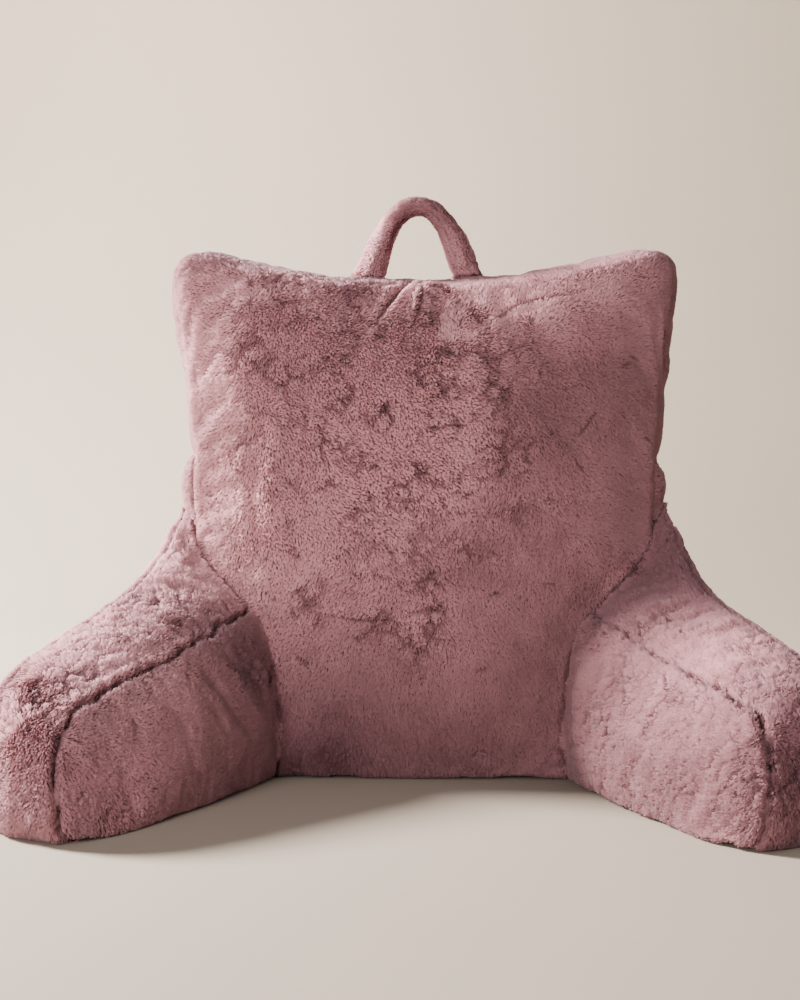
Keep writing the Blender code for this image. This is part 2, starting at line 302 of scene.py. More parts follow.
def flat_to(vectors, normals):
    """The vectors without their part along the normals."""
    return vectors - dot(vectors, normals) * normals


def smooth_step(value, start, end):
    """0 before the start and 1 past the end, which may lie on either side of it."""
    step = np.clip((value - start) / (end - start), 0.0, 1.0)
    return step * step * (3.0 - 2.0 * step)


def lattice(cells, seed):
    """A fixed random number from 0 to 1 for each whole-numbered cell."""
    cells = cells.astype(np.int64).astype(np.uint32)
    mixed = np.full(len(cells), seed * 7919 + 17, dtype=np.uint32)
    for axis, prime in enumerate((73856093, 19349663, 83492791)):
        mixed ^= cells[:, axis] * np.uint32(prime)
    for shift, factor in ((15, 2246822519), (13, 3266489917), (16, 1)):
        mixed ^= mixed >> np.uint32(shift)
        mixed *= np.uint32(factor)
    return (mixed & np.uint32(LATTICE_MOST)).astype(np.float32) / np.float32(LATTICE_MOST)


def noise(places, size, seed):
    """Smooth noise from -1 to 1 whose bumps are about the given size."""
    turned = (places.astype(np.float32) @ NOISE_TURN) / np.float32(size)
    cell = np.floor(turned)
    step = turned - cell
    step = step * step * step * (step * (step * 6.0 - 15.0) + 10.0)
    total = np.zeros(len(places), dtype=np.float32)
    for corner in product((0, 1), repeat=3):
        share = np.where(np.array(corner), step, 1.0 - step).prod(axis=1)
        total += share * lattice(cell + np.array(corner, dtype=np.float32), seed)
    return total * 2.0 - 1.0


def noise_vector(places, size, seed):
    return np.column_stack([noise(places, size, seed + axis) for axis in range(3)])


def cells(places, size, seed):
    """Vectors from each place to the two nearest of a scatter of cell middles."""
    turned = (places.astype(np.float32) @ NOISE_TURN) / np.float32(size)
    first = np.floor(turned - 0.5)
    offsets = []
    for corner in product((0, 1), repeat=3):
        cell = first + np.array(corner, dtype=np.float32)
        middle = np.column_stack([lattice(cell, seed + axis) for axis in range(3)])
        offsets.append(cell + 0.5 + 0.8 * (middle - 0.5) - turned)
    offsets = np.array(offsets)
    order = np.sqrt((offsets * offsets).sum(axis=2)).argsort(axis=0, kind="stable")
    back = NOISE_TURN.T * np.float32(size)
    nearest, second = offsets[order[:2], np.arange(len(places))]
    return nearest @ back, second @ back


def streaks(places, lie, seed):
    """Noise from about -1 to 1, drawn out along the brushed direction."""
    total = np.zeros(len(places), dtype=np.float32)
    for step in STREAK_STEPS:
        total += noise(places + lie * step, STREAK_WIDTH, seed)
    return total * (1.8 / len(STREAK_STEPS))


# ---------------- seams and creases

def curve_piece(start, end, leave, arrive, span):
    """Points from start up to the end, left and reached with the given slopes."""
    step = (np.arange(span) / span)[:, None]
    square, cube = step ** 2, step ** 3
    return ((2 * cube - 3 * square + 1) * start + (cube - 2 * square + step) * leave
            + (3 * square - 2 * cube) * end + (cube - square) * arrive)


def closed_curve(knots):
    """Points along a smooth closed curve through the knots."""
    pieces = []
    for index in range(len(knots)):
        before, start, end, after = np.roll(knots, 1 - index, axis=0)[:4]
        chord = norm(end - start)
        leave = (end - before) * chord / (chord + norm(start - before))
        arrive = (after - start) * chord / (chord + norm(after - end))
        span = max(1, int(round(chord / CURVE_STEP)))
        pieces.append(curve_piece(start, end, leave, arrive, span))
    return np.vstack(pieces)


def open_curve(knots):
    """Points along a smooth open curve through the knots."""
    ends = np.vstack((2 * knots[0] - knots[1], knots, 2 * knots[-1] - knots[-2]))
    pieces = []
    for before, start, end, after in zip(ends, ends[1:], ends[2:], ends[3:]):
        span = max(2, int(round(norm(end - start) / CURVE_STEP)))
        pieces.append(curve_piece(start, end, (end - before) / 2.0, (after - start) / 2.0, span))
    return np.vstack(pieces + [knots[-1:]])


class Arm:
    """The axes of one arm: along, across and height."""

    def __init__(self, side):
        mirror = np.array((side, 1.0, 1.0))
        self.root = np.array((ARM_ROOT[0], ARM_ROOT[1], 0.0)) * mirror
        self.axes = np.array(((math.sin(SPLAY), -math.cos(SPLAY), 0.0),
                              (math.cos(SPLAY), math.sin(SPLAY), 0.0),
                              (0.0, 0.0, 1.0))) * mirror

    def to_frame(self, local):
        return self.root + np.asarray(local) @ self.axes

    def turned_to_frame(self, local):
        return np.asarray(local) @ self.axes

    def from_frame(self, places):
        return (places - self.root) @ self.axes.T


ARMS = {"arm_left": Arm(-1.0), "arm_right": Arm(1.0)}


def settled(points):
    points = np.array(points)
    points[:, 2] = np.maximum(points[:, 2] - SETTLE, 0.0)
    return points


def backrest_seams():
    right = np.array(BACKREST_OUTLINE) / MM
    outline = closed_curve(np.vstack((right, right[-2:0:-1] * (-1.0, 1.0))))
    lean = FRONT_FOOT + LEAN * np.clip(outline[:, 1] / EAR_HEIGHT, 0.0, None)
    front = np.column_stack((outline[:, 0], lean, outline[:, 1]))
    rear = np.column_stack((outline[:, 0], np.full(len(outline), REAR_PLANE), outline[:, 1]))
    return settled(front), settled(rear)


def arm_seams(name):
    table = np.array(ARM_SEAMS) / MM
    return [settled(ARMS[name].to_frame(closed_curve(table[:, seam]))) for seam in (0, 1)]


def point_tree(points):
    tree = KDTree(len(points))
    for index, point in enumerate(points):
        tree.insert(point, index)
    tree.balance()
    return tree


class Line:
    """A seam or crease on a skin. Depth, width and lip shape the skin beside it; the pile parts
    by the given share and no fibre is rooted within the bare half width. The points of a joint
    are in no order, so it has no left and right side."""

    def __init__(self, points, strength, depth, width, lip=0.0, parting=0.0, bare=0.0,
                 ordered=True):
        self.points = np.asarray(points)
        self.strength = np.asarray(strength)
        self.depth, self.width, self.lip = depth, width, lip
        self.parting, self.bare, self.ordered = parting, bare, ordered
        along = np.roll(self.points, -1, axis=0) - np.roll(self.points, 1, axis=0)
        if norm(self.points[0] - self.points[-1]) > 0.004:
            along[0] = self.points[1] - self.points[0]
            along[-1] = self.points[-1] - self.points[-2]
        self.along = unit(along)
        self.tree = point_tree(self.points)
        self.parting_width = max(0.0016, 1.2 * width)
        self.reach = 2.6 * max(self.parting_width, width * (1.6 if lip else 1.0))

    def beside(self, places, normals):
        """Which places lie near the line, how far to its left they lie, the way that distance
        grows and the line's strength there."""
        low, high = self.points.min(axis=0) - self.reach, self.points.max(axis=0) + self.reach
        near = np.flatnonzero(((places > low) & (places < high)).all(axis=1))
        found = [self.tree.find(place) for place in places[near]]
        distance = np.array([hit[2] for hit in found])
        kept = distance < self.reach
        near, index = near[kept], np.array([hit[1] for hit in found], dtype=int)[kept]
        if not len(near):
            return near, None, None, None
        apart = flat_to(places[near] - self.points[index], normals[near])
        if not self.ordered:
            return near, distance[kept], unit(apart), self.strength[index]
        left = unit(np.cross(normals[near], self.along[index]))
        side = np.where(dot(apart, left)[:, 0] < 0.0, -1.0, 1.0)
        away = unit(apart + left * side[:, None] * 1e-4) * side[:, None]
        return near, distance[kept] * side, away, self.strength[index]

    def profile(self, left):
        rise = -self.depth * np.exp(-(left / self.width) ** 2)
        if self.lip:
            beside = left * math.copysign(1.0, self.lip)
            rise += abs(self.lip) * np.exp(-((beside - 1.9 * self.width) / (1.4 * self.width)) ** 2)
        return rise


# ---------------- meshes as arrays

def arrays_of(mesh):
    mesh.calc_loop_triangles()
    places = np.empty(len(mesh.vertices) * 3, dtype=np.float32)
    mesh.vertices.foreach_get("co", places)
    triangles = np.empty(len(mesh.loop_triangles) * 3, dtype=np.int32)
    mesh.loop_triangles.foreach_get("vertices", triangles)
    return places.reshape(-1, 3).astype(float), triangles.reshape(-1, 3)


def face_normals(corners):
    """Normals of the triangles with these corners, as long as twice their areas."""
    return np.cross(corners[:, 1] - corners[:, 0], corners[:, 2] - corners[:, 0])


def vertex_normals(places, triangles, faces=slice(None)):
    """Normals at the vertices from the chosen triangles, zero where none meets."""
    weighted = face_normals(places[triangles[faces]])
    total = np.zeros_like(places)
    for corner in range(3):
        for axis in range(3):
            total[:, axis] += np.bincount(triangles[faces][:, corner], weighted[:, axis],
                                          len(places))
    return unit(total)


def cad_arrays(node):
    """A CAD node's vertices, each held once, and triangles."""
    places, triangles = arrays_of(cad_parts[node].data)
    _, first, index = np.unique(np.round(places, 6), axis=0, return_index=True,
                                return_inverse=True)
    triangles = index.reshape(-1)[triangles]
    ordered = np.sort(triangles, axis=1)
    return places[first], triangles[(ordered[:, 1:] != ordered[:, :-1]).all(axis=1)]


def search_tree(places, triangles):
    return BVHTree.FromPolygons(places.tolist(), triangles.tolist())


def is_inside(tree, place):
    """Whether a ray from the place leaves a closed surface an odd number of times."""
    crossings = 0
    start = place
    for _ in range(12):
        hit = tree.ray_cast(start, RAY_OUT)[0]
        if hit is None:
            break
        crossings += 1
        start = hit + RAY_OUT * 1e-5
    return crossings % 2 == 1


def distance_to(tree, places, limit=0.030):
    """Signed distance from each place to a closed surface, negative inside it, and the limit
    where it is further."""
    result = np.full(len(places), limit)
    for index, place in enumerate(places):
        place = Vector(place)
        distance = tree.find_nearest(place, limit)[3]
        if distance is not None:
            result[index] = -distance if is_inside(tree, place) else distance
    return result


def put(data, title, values):
    data.foreach_set(title, values.astype(np.float32).ravel())


def new_object(name, mesh):
    item = bpy.data.objects.new(name, mesh)
    bpy.context.scene.collection.objects.link(item)
    return item


def object_of(name, places, triangles):
    mesh = bpy.data.meshes.new(name)
    mesh.from_pydata(places.tolist(), [], triangles.tolist())
    return new_object(name, mesh)


def applied_mesh(item):
    """The item's mesh as its modifiers leave it. The item loses them."""
    bpy.context.view_layer.update()
    graph = bpy.context.evaluated_depsgraph_get()
    mesh = bpy.data.meshes.new_from_object(item.evaluated_get(graph))
    item.modifiers.clear()
    return mesh


CAD = {node: cad_arrays(node) for node in ("backrest", "arm_left", "arm_right", "handle")}
CAD_TREES = {node: search_tree(*CAD[node]) for node in CAD}


# ---------------- covers

def is_sewn(node):
    """Which of a sewn-on CAD node's triangles lie against the backrest."""
    places, triangles = CAD[node]
    near = np.abs(distance_to(CAD_TREES["backrest"], places)) < SEWN_GAP
    return near[triangles].all(axis=1)


def drawn_in(node, depth):
    """The CAD node's vertices moved inwards by depth, but kept on the floor, and kept against
    the backrest where the piece is sewn to it."""
    places, triangles = CAD[node]
    normals = unit(face_normals(places[triangles]))
    base = (normals[:, 2] < -0.9) & (places[triangles][:, :, 2] < 0.0005).all(axis=1)
    sewn = np.zeros(len(triangles), dtype=bool) if node == "backrest" else is_sewn(node) & ~base
    skin = ~base & ~sewn
    depth = np.broadcast_to(depth, len(places))
    planes = np.stack([vertex_normals(places, triangles, chosen) for chosen in
                       (skin, base, sewn)], axis=1)
    held = np.stack((-depth, np.full(len(places), -BASE_LIFT), depth - SEWN_GAP), axis=1)
    held[norm(planes, axis=2) < 0.5] = 0.0
    move = np.linalg.pinv(planes, rcond=0.35) @ held[:, :, None]
    return places + move[:, :, 0], triangles


def seam_distance(seams, places):
    trees = [point_tree(seam) for seam in seams]
    return np.array([min(tree.find(place)[2] for tree in trees) for place in places])


def filled_cover(node, seams):
    """The cover of a filled piece: drawn in by the pile's depth, remeshed evenly and swollen by
    its filling between the seams, the base and what it is sewn to, which hold it."""
    depth = PILE_DEPTH
    slack = smooth_step(seam_distance(seams, CAD[node][0]), 0.008, 0.060)
    depth = PILE_DEPTH + SWELL * slack
    item = object_of(node + "_cover", *drawn_in(node, depth))
    remesh = item.modifiers.new("even", 'REMESH')
    remesh.mode = 'VOXEL'
    remesh.voxel_size = VOXEL[node]
    mesh = item.data = applied_mesh(item)
    start, _ = arrays_of(mesh)
    held = smooth_step(seam_distance(seams, start), 0.016, 0.0085)
    held = np.maximum(held, smooth_step(start[:, 2], 0.006, 0.002))
    if node != "backrest":
        to_back = distance_to(CAD_TREES["backrest"], start)
        held = np.maximum(held, smooth_step(to_back, 0.008, 0.001))
    group = item.vertex_groups.new(name="held")
    for index, weight in enumerate(held):
        group.add([index], float(weight), 'REPLACE')
    cloth = item.modifiers.new("filling", 'CLOTH')
    for title, value in CLOTH.items():
        setattr(cloth.settings, title, value)
    cloth.settings.vertex_group_mass = "held"
    cloth.settings.effector_weights.gravity = 0.0
    cloth.collision_settings.use_collision = False
    scene = bpy.context.scene
    for span in (scene, cloth.point_cache):
        span.frame_start, span.frame_end = 1, CLOTH_FRAMES
    for number in range(1, CLOTH_FRAMES + 1):
        scene.frame_set(number)
    swollen, _ = arrays_of(applied_mesh(item))
    scene.frame_set(1)
    move = swollen - start
    length = norm(move, axis=1, keepdims=True)
    swollen = start + move * np.minimum(1.0, SWELL_CAP / np.maximum(length, 1e-9))
    print(f"{node} is moved by its filling by {length.mean() * MM:.2f} mm, at most"
          f" {length.max() * MM:.2f} mm")
    put(mesh.vertices, "co", swollen)
    mesh.update()
    return item


class Skin:
    """A cover as arrays, fine enough to root fibres in, with the lines that mark it."""

    def __init__(self, node, item, levels=1):
        self.node = node
        finer = item.modifiers.new("finer", 'SUBSURF')
        finer.levels = finer.render_levels = levels
        mesh = applied_mesh(item)
        self.places, self.triangles = arrays_of(mesh)
        self.normals = vertex_normals(self.places, self.triangles)
        self.tree = search_tree(self.places, self.triangles)
        self.lines = []
        bpy.data.meshes.remove(mesh)

    def on_skin(self, points):
        """The nearest places on the skin and which points are near enough to have one."""
        found = [self.tree.find_nearest(Vector(point)) for point in points]
        kept = np.array([hit[3] < ON_SKIN for hit in found])
        return np.array([hit[0] for hit in found])[kept], kept

    def add_seam(self, points, strength, wander=0.0, broken=0.0, **finish):
        """A line laid on the skin, which wanders to its sides and is weaker in places."""
        drift = noise_vector(points, 0.011, 61) + 0.5 * noise_vector(points, 0.0045, 67)
        placed, kept = self.on_skin(points + wander * drift)
        if len(placed) > 4:
            weaker = 1.0 - broken * smooth_step(noise(points, 0.013, 73), -0.1, 0.5)
            strength = np.broadcast_to(strength, len(points)) * weaker
            self.lines.append(Line(placed, strength[kept], **finish))

    def add_cracks(self, count, facing, seed):
        """Short, crooked cracks in the pile, scattered over the side that faces one way."""
        random = np.random.default_rng(seed)
        weight = np.clip(self.normals @ np.array(facing) - 0.4, 0.0, 1.0)
        weight *= tufted(self.node, self.places) ** 3 * (self.places[:, 2] > 0.02)
        for start in random.choice(len(self.places), count, p=weight / weight.sum()):
            normal = self.normals[start]
            level = unit(np.cross(normal, np.array((0.0, 0.0, 1.0))))
            turn = random.normal(0.0, 0.5)
            aim = level * math.cos(turn) + np.cross(normal, level) * math.sin(turn)
            bend = np.cross(normal, aim) * random.normal(0.0, 45.0)
            length = random.uniform(0.0045, 0.0170)
            step = np.arange(-length / 2.0, length / 2.0, 0.0009)[:, None]
            points = self.places[start] + aim * step + bend * step ** 2
            points += 0.0008 * noise_vector(points, 0.0035, seed)
            placed, _ = self.on_skin(points)
            fade = np.sin(np.linspace(0.15, math.pi - 0.15, len(placed))) ** 0.6
            self.lines.append(Line(placed, fade, depth=random.uniform(0.0014, 0.0030),
                                   width=random.uniform(0.0008, 0.0015), lip=0.0006,
                                   parting=0.25))

    def seen_from(self, side, path):
        """A path given in a side's two coordinates, laid on the skin."""
        axis, start = VIEWS[side]
        starts = np.insert(open_curve(np.array(path) / MM), axis, start, axis=1)
        aim = np.zeros(3)
        aim[axis] = -math.copysign(1.0, start)
        arm = ARMS.get(self.node)
        if arm:
            starts, aim = arm.to_frame(starts), arm.turned_to_frame(aim)
        hits = [self.tree.ray_cast(Vector(start), Vector(aim))[0] for start in starts]
        return np.array([hit for hit in hits if hit is not None])

    def add_crease(self, side, depth, width, lip, path):
        points = self.seen_from(side, path)
        if len(points) < 4:
            return
        drift = 0.0008 * noise_vector(points, 0.006, 63) if width < NARROW else 0.0
        fade = np.sin(np.linspace(0.0, math.pi, len(points))) ** 0.5
        parting = 0.35 if depth > 0.0 and width < NARROW else 0.0
        self.lines.append(Line(points + drift, fade, depth, width, lip, parting))


def clumped(places, normals, tuft):
    """Height, slope along the surface and depth of the cracks of the clumps in the pile."""
    rise, crack_depth = np.zeros(len(places)), np.zeros(len(places))
    slope = np.zeros_like(places)
    for number, (size, dome, crack, half_width) in enumerate(CLUMPS):
        drift = 0.32 * size * noise_vector(places, size * 1.2, 15 + 7 * number)
        to_nearest, to_second = cells(places + drift, size, 5 + 11 * number)
        nearest = norm(to_nearest, axis=1)
        second = norm(to_second, axis=1)
        gap = (second - nearest) / 2.0
        widening = flat_to(unit(to_nearest) - unit(to_second), normals) / 2.0
        opened = smooth_step(noise(places, size * 1.6, 31 + number), -0.10, 0.45)
        opened = opened * smooth_step(tuft, 0.35, 0.95)
        plateau = dome * tuft * np.exp(-gap / (0.16 * size))
        cut = crack * opened * np.exp(-(gap / half_width) ** 2)
        rise -= plateau + cut
        steep = plateau / (0.16 * size) + cut * 2.0 * gap / half_width ** 2
        slope += widening * steep[:, None]
        # The crack depth also darkens the pile and the ground as painted shade
        crack_depth += opened * np.exp(-(gap / half_width) ** 2) * min(1.0, crack / 0.0016)
    return rise, slope, crack_depth


def relief_of(skin, places, normals):
    """How far the surface stands out at each place, its slope as a vector along the surface,
    how the seams part the pile there, how deep in a crack it is and whether it is bare."""
    step = RELIEF_STEP
    first = unit(np.cross(normals, np.array((0.31, 0.17, 0.93))))
    second = np.cross(normals, first)

    def uneven(points):
        return sum(height * noise(points, size, seed) for height, size, seed in UNEVENNESS)

    rise = uneven(places)
    slope = (first * ((uneven(places + first * step) - rise) / step)[:, None]
             + second * ((uneven(places + second * step) - rise) / step)[:, None])
    clump_rise, clump_slope, crack = clumped(places, normals, tufted(skin.node, places))
    rise += clump_rise
    slope += clump_slope
    parting = np.zeros_like(places)
    bare = np.zeros(len(places), dtype=bool)
    for line in skin.lines:
        near, left, away, strength = line.beside(places, normals)
        if not len(near):
            continue
        rise[near] += line.profile(left) * strength
        change = (line.profile(left + step) - line.profile(left - step)) / (2.0 * step)
        slope[near] += away * (change * strength)[:, None]
        if line.parting:
            spread = line.parting * np.exp(-(left / line.parting_width) ** 2) * strength
            parting[near] += away * (spread * np.sign(left))[:, None]
            # Painted shade: a parting's crack value later darkens the pile and the ground under it
            shade = np.exp(-(left / (0.6 * line.width)) ** 2) * strength
            crack[near] += shade * min(1.0, line.depth / 0.0022)
        bare[near] |= np.abs(left) < line.bare * strength
    steep = norm(slope, axis=1, keepdims=True)
    slope *= np.minimum(1.0, STEEPEST / np.maximum(steep, 1e-6))
    return rise, slope, parting, np.clip(crack, 0.0, 1.0), bare


# ---------------- pile

def rows_near(node, places, rows):
    """For each row of a table: how near the places lie to it, from 0 to 1, and its value."""
    local = ARMS[node].from_frame(places) if node in ARMS else places
    for x, y, z, reach, *value in rows:
        away = ((local - np.array((x, y, z)) / MM) ** 2).sum(axis=1)
        yield np.exp(-away / (reach / MM) ** 2), np.array(value)


def brushed(node, places, normals, seed, kind):
    """The direction along the surface in which the pile lies."""
    total = np.tile(np.array(BRUSH_BASE[kind]), (len(places), 1))
    for nearness, direction in rows_near(node, places, BRUSHING.get(kind, ())):
        total += nearness[:, None] * direction
    if node in ARMS:
        total = ARMS[node].turned_to_frame(total)
    total += 0.55 * noise_vector(places, 0.048, seed) + 0.35 * noise_vector(places, 0.017, seed + 5)
    return unit(flat_to(total, normals))


def tufted(node, places):
    """How strongly the pile stands in tufts at each place."""
    weights = np.full(len(places), 0.25)
    total = weights * TUFTING_BASE
    for nearness, value in rows_near(node, places, TUFTING.get(node, ())):
        weights += nearness
        total += nearness * value
    return np.clip(total / weights + 0.22 * noise(places, 0.035, 71), 0.0, 1.2)


def painted_tone(node, places):
    """How much paler (painted light) or darker (painted shade) the pile's tone is painted at each
    place.
    """
    total = np.zeros(len(places))
    for nearness, value in rows_near(node, places, PAINTED_LIGHT_AND_SHADE[node]):
        total += value * nearness
    return total


def sample_skin(skin, count, density, seed):
    """Places spread evenly over the skin by area and density, with their normals."""
    corners = skin.places[skin.triangles]
    area = norm(face_normals(corners), axis=1) / 2.0
    weight = area * density[skin.triangles].mean(axis=1)
    share = np.cumsum(weight) / weight.sum()
    random = np.random.default_rng(seed)
    steps = (np.arange(count) + random.random(count)) / count
    face = np.minimum(np.searchsorted(share, steps), len(share) - 1)
    first, second = random.random(count), random.random(count)
    over = first + second > 1.0
    first[over], second[over] = 1.0 - first[over], 1.0 - second[over]
    mix = np.column_stack((1.0 - first - second, first, second))[:, :, None]
    places = (corners[face] * mix).sum(axis=1)
    normals = unit((skin.normals[skin.triangles[face]] * mix).sum(axis=1))
    return places, normals, random


def grow_pile(name, skin, density, material, seed, rise=FIBRE_RISE, reach=FIBRE_REACH,
              width=FIBRE_WIDTH, kind="arm", flow=None):
    """One piece of pile: a leaning fibre lock for each root."""
    places, normals, random = sample_skin(skin, FIBRES[name], density, seed)
    lift, slope, parting, crack, bare = relief_of(skin, places, normals)
    places, normals, lift, slope, parting, crack = (
        values[~bare] for values in (places, normals, lift, slope, parting, crack))
    count = len(places)
    lie = flow(places, normals) if flow else brushed(skin.node, places, normals, 41, kind)
    tuft = tufted(skin.node, places)
    to_tuft, _ = cells(places, TUFT, 3)
    to_tuft = flat_to(to_tuft, normals)
    beside = np.cross(normals, lie)
    streak = streaks(places, lie, 87)
    aside = 0.0006
    streak_slope = (streaks(places + beside * aside, lie, 87)
                    - streaks(places - beside * aside, lie, 87)) / (2.0 * aside)

    surface = places + normals * (lift + 0.0003 * streak)[:, None]
    leaning = unit(normals - slope * 0.8)
    stand = (1.0 - 0.40 * crack) * (0.86 + 0.28 * random.random(count))
    length_along = reach * (0.75 + 0.5 * random.random(count)) * (1.0 - 0.30 * tuft)
    stray = flat_to(random.normal(0.0, 1.0, (count, 3)), normals)
    tip = (surface + leaning * (rise * stand)[:, None] + lie * length_along[:, None]
           + to_tuft * (0.15 + 0.35 * tuft)[:, None] + parting * PARTING_LEAN
           + stray * (0.12 * reach))
    root = surface - normals * FIBRE_SINK
    axis = unit(tip - root)
    sideways = unit(np.cross(axis, leaning))
    roll = random.uniform(-0.7, 0.7, count)[:, None]
    sideways = sideways * np.cos(roll) + np.cross(axis, sideways) * np.sin(roll)
    half = (width * 0.5 * (0.7 + 0.6 * random.random(count)))[:, None]
    blunt = random.random(count) < BLUNT_SHARE
    pointed_corners = np.stack((root - sideways * half, root + sideways * half, tip), axis=1)
    blunt_corners = np.stack((tip + sideways * half, tip - sideways * half, root), axis=1)
    corners = np.where(blunt[:, None, None], blunt_corners, pointed_corners)
    turned = dot(face_normals(corners), leaning)[:, 0] <= 0.0
    corners[turned, :2] = corners[turned, 1::-1]
    corners[:, :, 2] = np.maximum(corners[:, :, 2], LOWEST_FIBRE)

    # Light falls on the pile as on a soft surface, roughened by its streaks and single fibres
    own = unit(face_normals(corners))
    across_fibre = unit(flat_to(leaning, axis))
    shading = (leaning - 0.60 * slope + across_fibre * 0.11 + own * 0.09
               - beside * (streak_slope * 0.00018)[:, None]
               - to_tuft * (0.06 + 0.16 * tuft)[:, None] / TUFT)

    tone = 0.52 + 0.04 * random.normal(0.0, 1.0, count) + 0.06 * streak
    tone += 0.10 * noise(places, 0.060, 51) + 0.06 * noise(places, 0.016, 57)
    # Painted light and shade from the table; past the range it turns the shading normals to the
    # light
    pale = painted_tone(skin.node, places)
    shading += np.maximum(pale - PAINTED_TONE_RANGE[1], 0.0)[:, None] * np.array(TURN_TO_LIGHT)
    # Painted shade darkens the pile's colour in cracks, creases and seam partings
    tone = (tone + np.clip(pale, *PAINTED_TONE_RANGE)) * (1.0 - PAINTED_CRACK_SHADE * crack)
    pile_object(name, corners, blunt, unit(shading), np.clip(tone, 0.02, 0.98), material)


def pile_object(name, corners, blunt, shading, tone, material):
    """Separate triangles with their shading normals, tone and height as attributes.

    The map OFBake holds tone across and height up, so that a fibre's colour depends on nothing
    but its place in that map."""
    count = len(corners)
    mesh = bpy.data.meshes.new(name)
    mesh.vertices.add(3 * count)
    put(mesh.vertices, "co", corners)
    mesh.loops.add(3 * count)
    mesh.loops.foreach_set("vertex_index", np.arange(3 * count, dtype=np.int32))
    mesh.polygons.add(count)
    mesh.polygons.foreach_set("loop_start", np.arange(0, 3 * count, 3, dtype=np.int32))
    mesh.update(calc_edges=True)
    normals = mesh.attributes.new("custom_normal", 'FLOAT_VECTOR', 'POINT')
    put(normals.data, "vector", np.repeat(shading, 3, axis=0))
    across = tone[:, None] + np.array((-0.006, 0.006, 0.0))
    up = np.where(blunt[:, None], np.array((0.98, 0.98, 0.02)), np.array((0.02, 0.02, 0.98)))
    for title, values in (("tone", across), ("height", up)):
        put(mesh.attributes.new(title, 'FLOAT', 'POINT').data, "value", values)
    put(mesh.uv_layers.new(name="OFBake").data, "uv", np.stack((across, up), axis=2))
    mesh.materials.append(material)
    item = new_object(name, mesh)
    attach(item, "root")


# ---------------- materials

class Look:
    """The nodes of a new material or world."""

    def __init__(self, owner, **surface):
        owner.use_nodes = True
        self.owner, self.nodes = owner, owner.node_tree.nodes
        self.shader = self.nodes.get("Principled BSDF") or self.nodes["Background"]
        self.set(self.shader, **surface)

    def set(self, node, **inputs):
        """Give the node's inputs a plain value, or link them where the value is a socket."""
        for title, value in inputs.items():
            title = title.replace("_", " ").title().replace("Ior", "IOR")
            if isinstance(value, bpy.types.NodeSocket):
                node.id_data.links.new(value, node.inputs[title])
            else:
                node.inputs[title].default_value = value
        return node

    def add(self, kind, **inputs):
        return self.set(self.nodes.new("ShaderNode" + kind), **inputs)

    def attribute(self, title):
        node = self.add("Attribute")
        node.attribute_name = title
        return node.outputs["Fac"]

    def pattern(self, kind, **inputs):
        """A texture node that is fixed to the object."""
        place = self.add("TexCoord").outputs["Object"]
        return self.add("Tex" + kind, vector=place, **inputs)

    def ramp(self, factor, *stops):
        ramp = self.add("ValToRGB", fac=factor)
        elements = ramp.color_ramp.elements
        for element, (position, colour) in zip(elements, (stops[0], stops[-1])):
            element.position, element.color = position, (*colour, 1.0)
        for position, colour in stops[1:-1]:
            elements.new(position).color = (*colour, 1.0)
        return ramp.outputs["Color"]

    def mix(self, factor, first, second):
        """A colour between the two, which are sockets or plain colours."""
        node = self.add("Mix")
        node.data_type = 'RGBA'
        return self.set(node, factor=factor, a=first, b=second).outputs["Result"]

    def bump(self, height, strength, distance):
        node = self.add("Bump", height=height, strength=strength, distance=distance)
        self.set(self.shader, normal=node.outputs["Normal"])


def pile_material():
    """Fibres whose colour darkens towards their roots as painted shade deep in the pile, coloured
    by their tone from the painted shade of the cracks to the palest painted light."""
    look = Look(bpy.data.materials.new("plush pile"), roughness=0.82, specular_ior_level=0.25)
    # Painted shade: the colour darkens towards the root of each fibre
    by_height = look.add("MapRange", value=look.attribute("height"), from_max=0.75)
    by_height.interpolation_type = 'SMOOTHSTEP'
    by_tone = look.ramp(look.attribute("tone"), *PILE_TONES)
    colour = look.mix(by_height.outputs["Result"], PILE_ROOT_SHADE, by_tone)
    look.set(look.shader, base_color=colour, sheen_weight=0.45, sheen_roughness=0.45,
             sheen_tint=(1.0, 0.86, 0.89, 1.0))
    glow = look.add("BsdfTranslucent", color=colour)
    both = look.add("MixShader", fac=GLOW)
    for place, shader in enumerate((look.shader, glow), 1):
        both.id_data.links.new(shader.outputs["BSDF"], both.inputs[place])
    look.set(look.nodes["Material Output"], surface=both.outputs["Shader"])
    return look.owner


def cover_material():
    """The knitted ground that the pile stands on, seen only where the pile parts. Its knit is kept
    dark as painted shade deep in the pile, and the crack attribute darkens it further to painted
    shade in cracks and seams.
    """
    look = Look(bpy.data.materials.new("plush ground"), roughness=0.95, specular_ior_level=0.1)
    drift = look.pattern("Noise", scale=60.0, detail=3.0)
    knit = look.ramp(drift.outputs["Fac"], (0.25, (0.210, 0.108, 0.114)),
                     (0.75, (0.290, 0.154, 0.161)))
    # Painted shade: the crack attribute mixes the knit towards near-black in cracks and seams
    look.set(look.shader, base_color=look.mix(look.attribute("crack"), knit,
                                              (0.055, 0.024, 0.026, 1.0)))
    look.bump(look.pattern("Voronoi", scale=700.0).outputs["Distance"], 0.5, 0.0006)
    return look.owner


def backdrop_material():
    look = Look(bpy.data.materials.new("pale studio paper"), roughness=0.85,
                specular_ior_level=0.5)
    mottle = look.pattern("Noise", scale=1.6, detail=4.0)
    look.set(look.shader, base_color=look.ramp(mottle.outputs["Fac"], (0.3, (0.424, 0.355, 0.292)),
                                               (0.7, (0.446, 0.373, 0.306))))
    look.bump(look.pattern("Noise", scale=900.0).outputs["Fac"], 0.08, 0.0004)
    return look.owner


# ---------------- stage, lights and camera

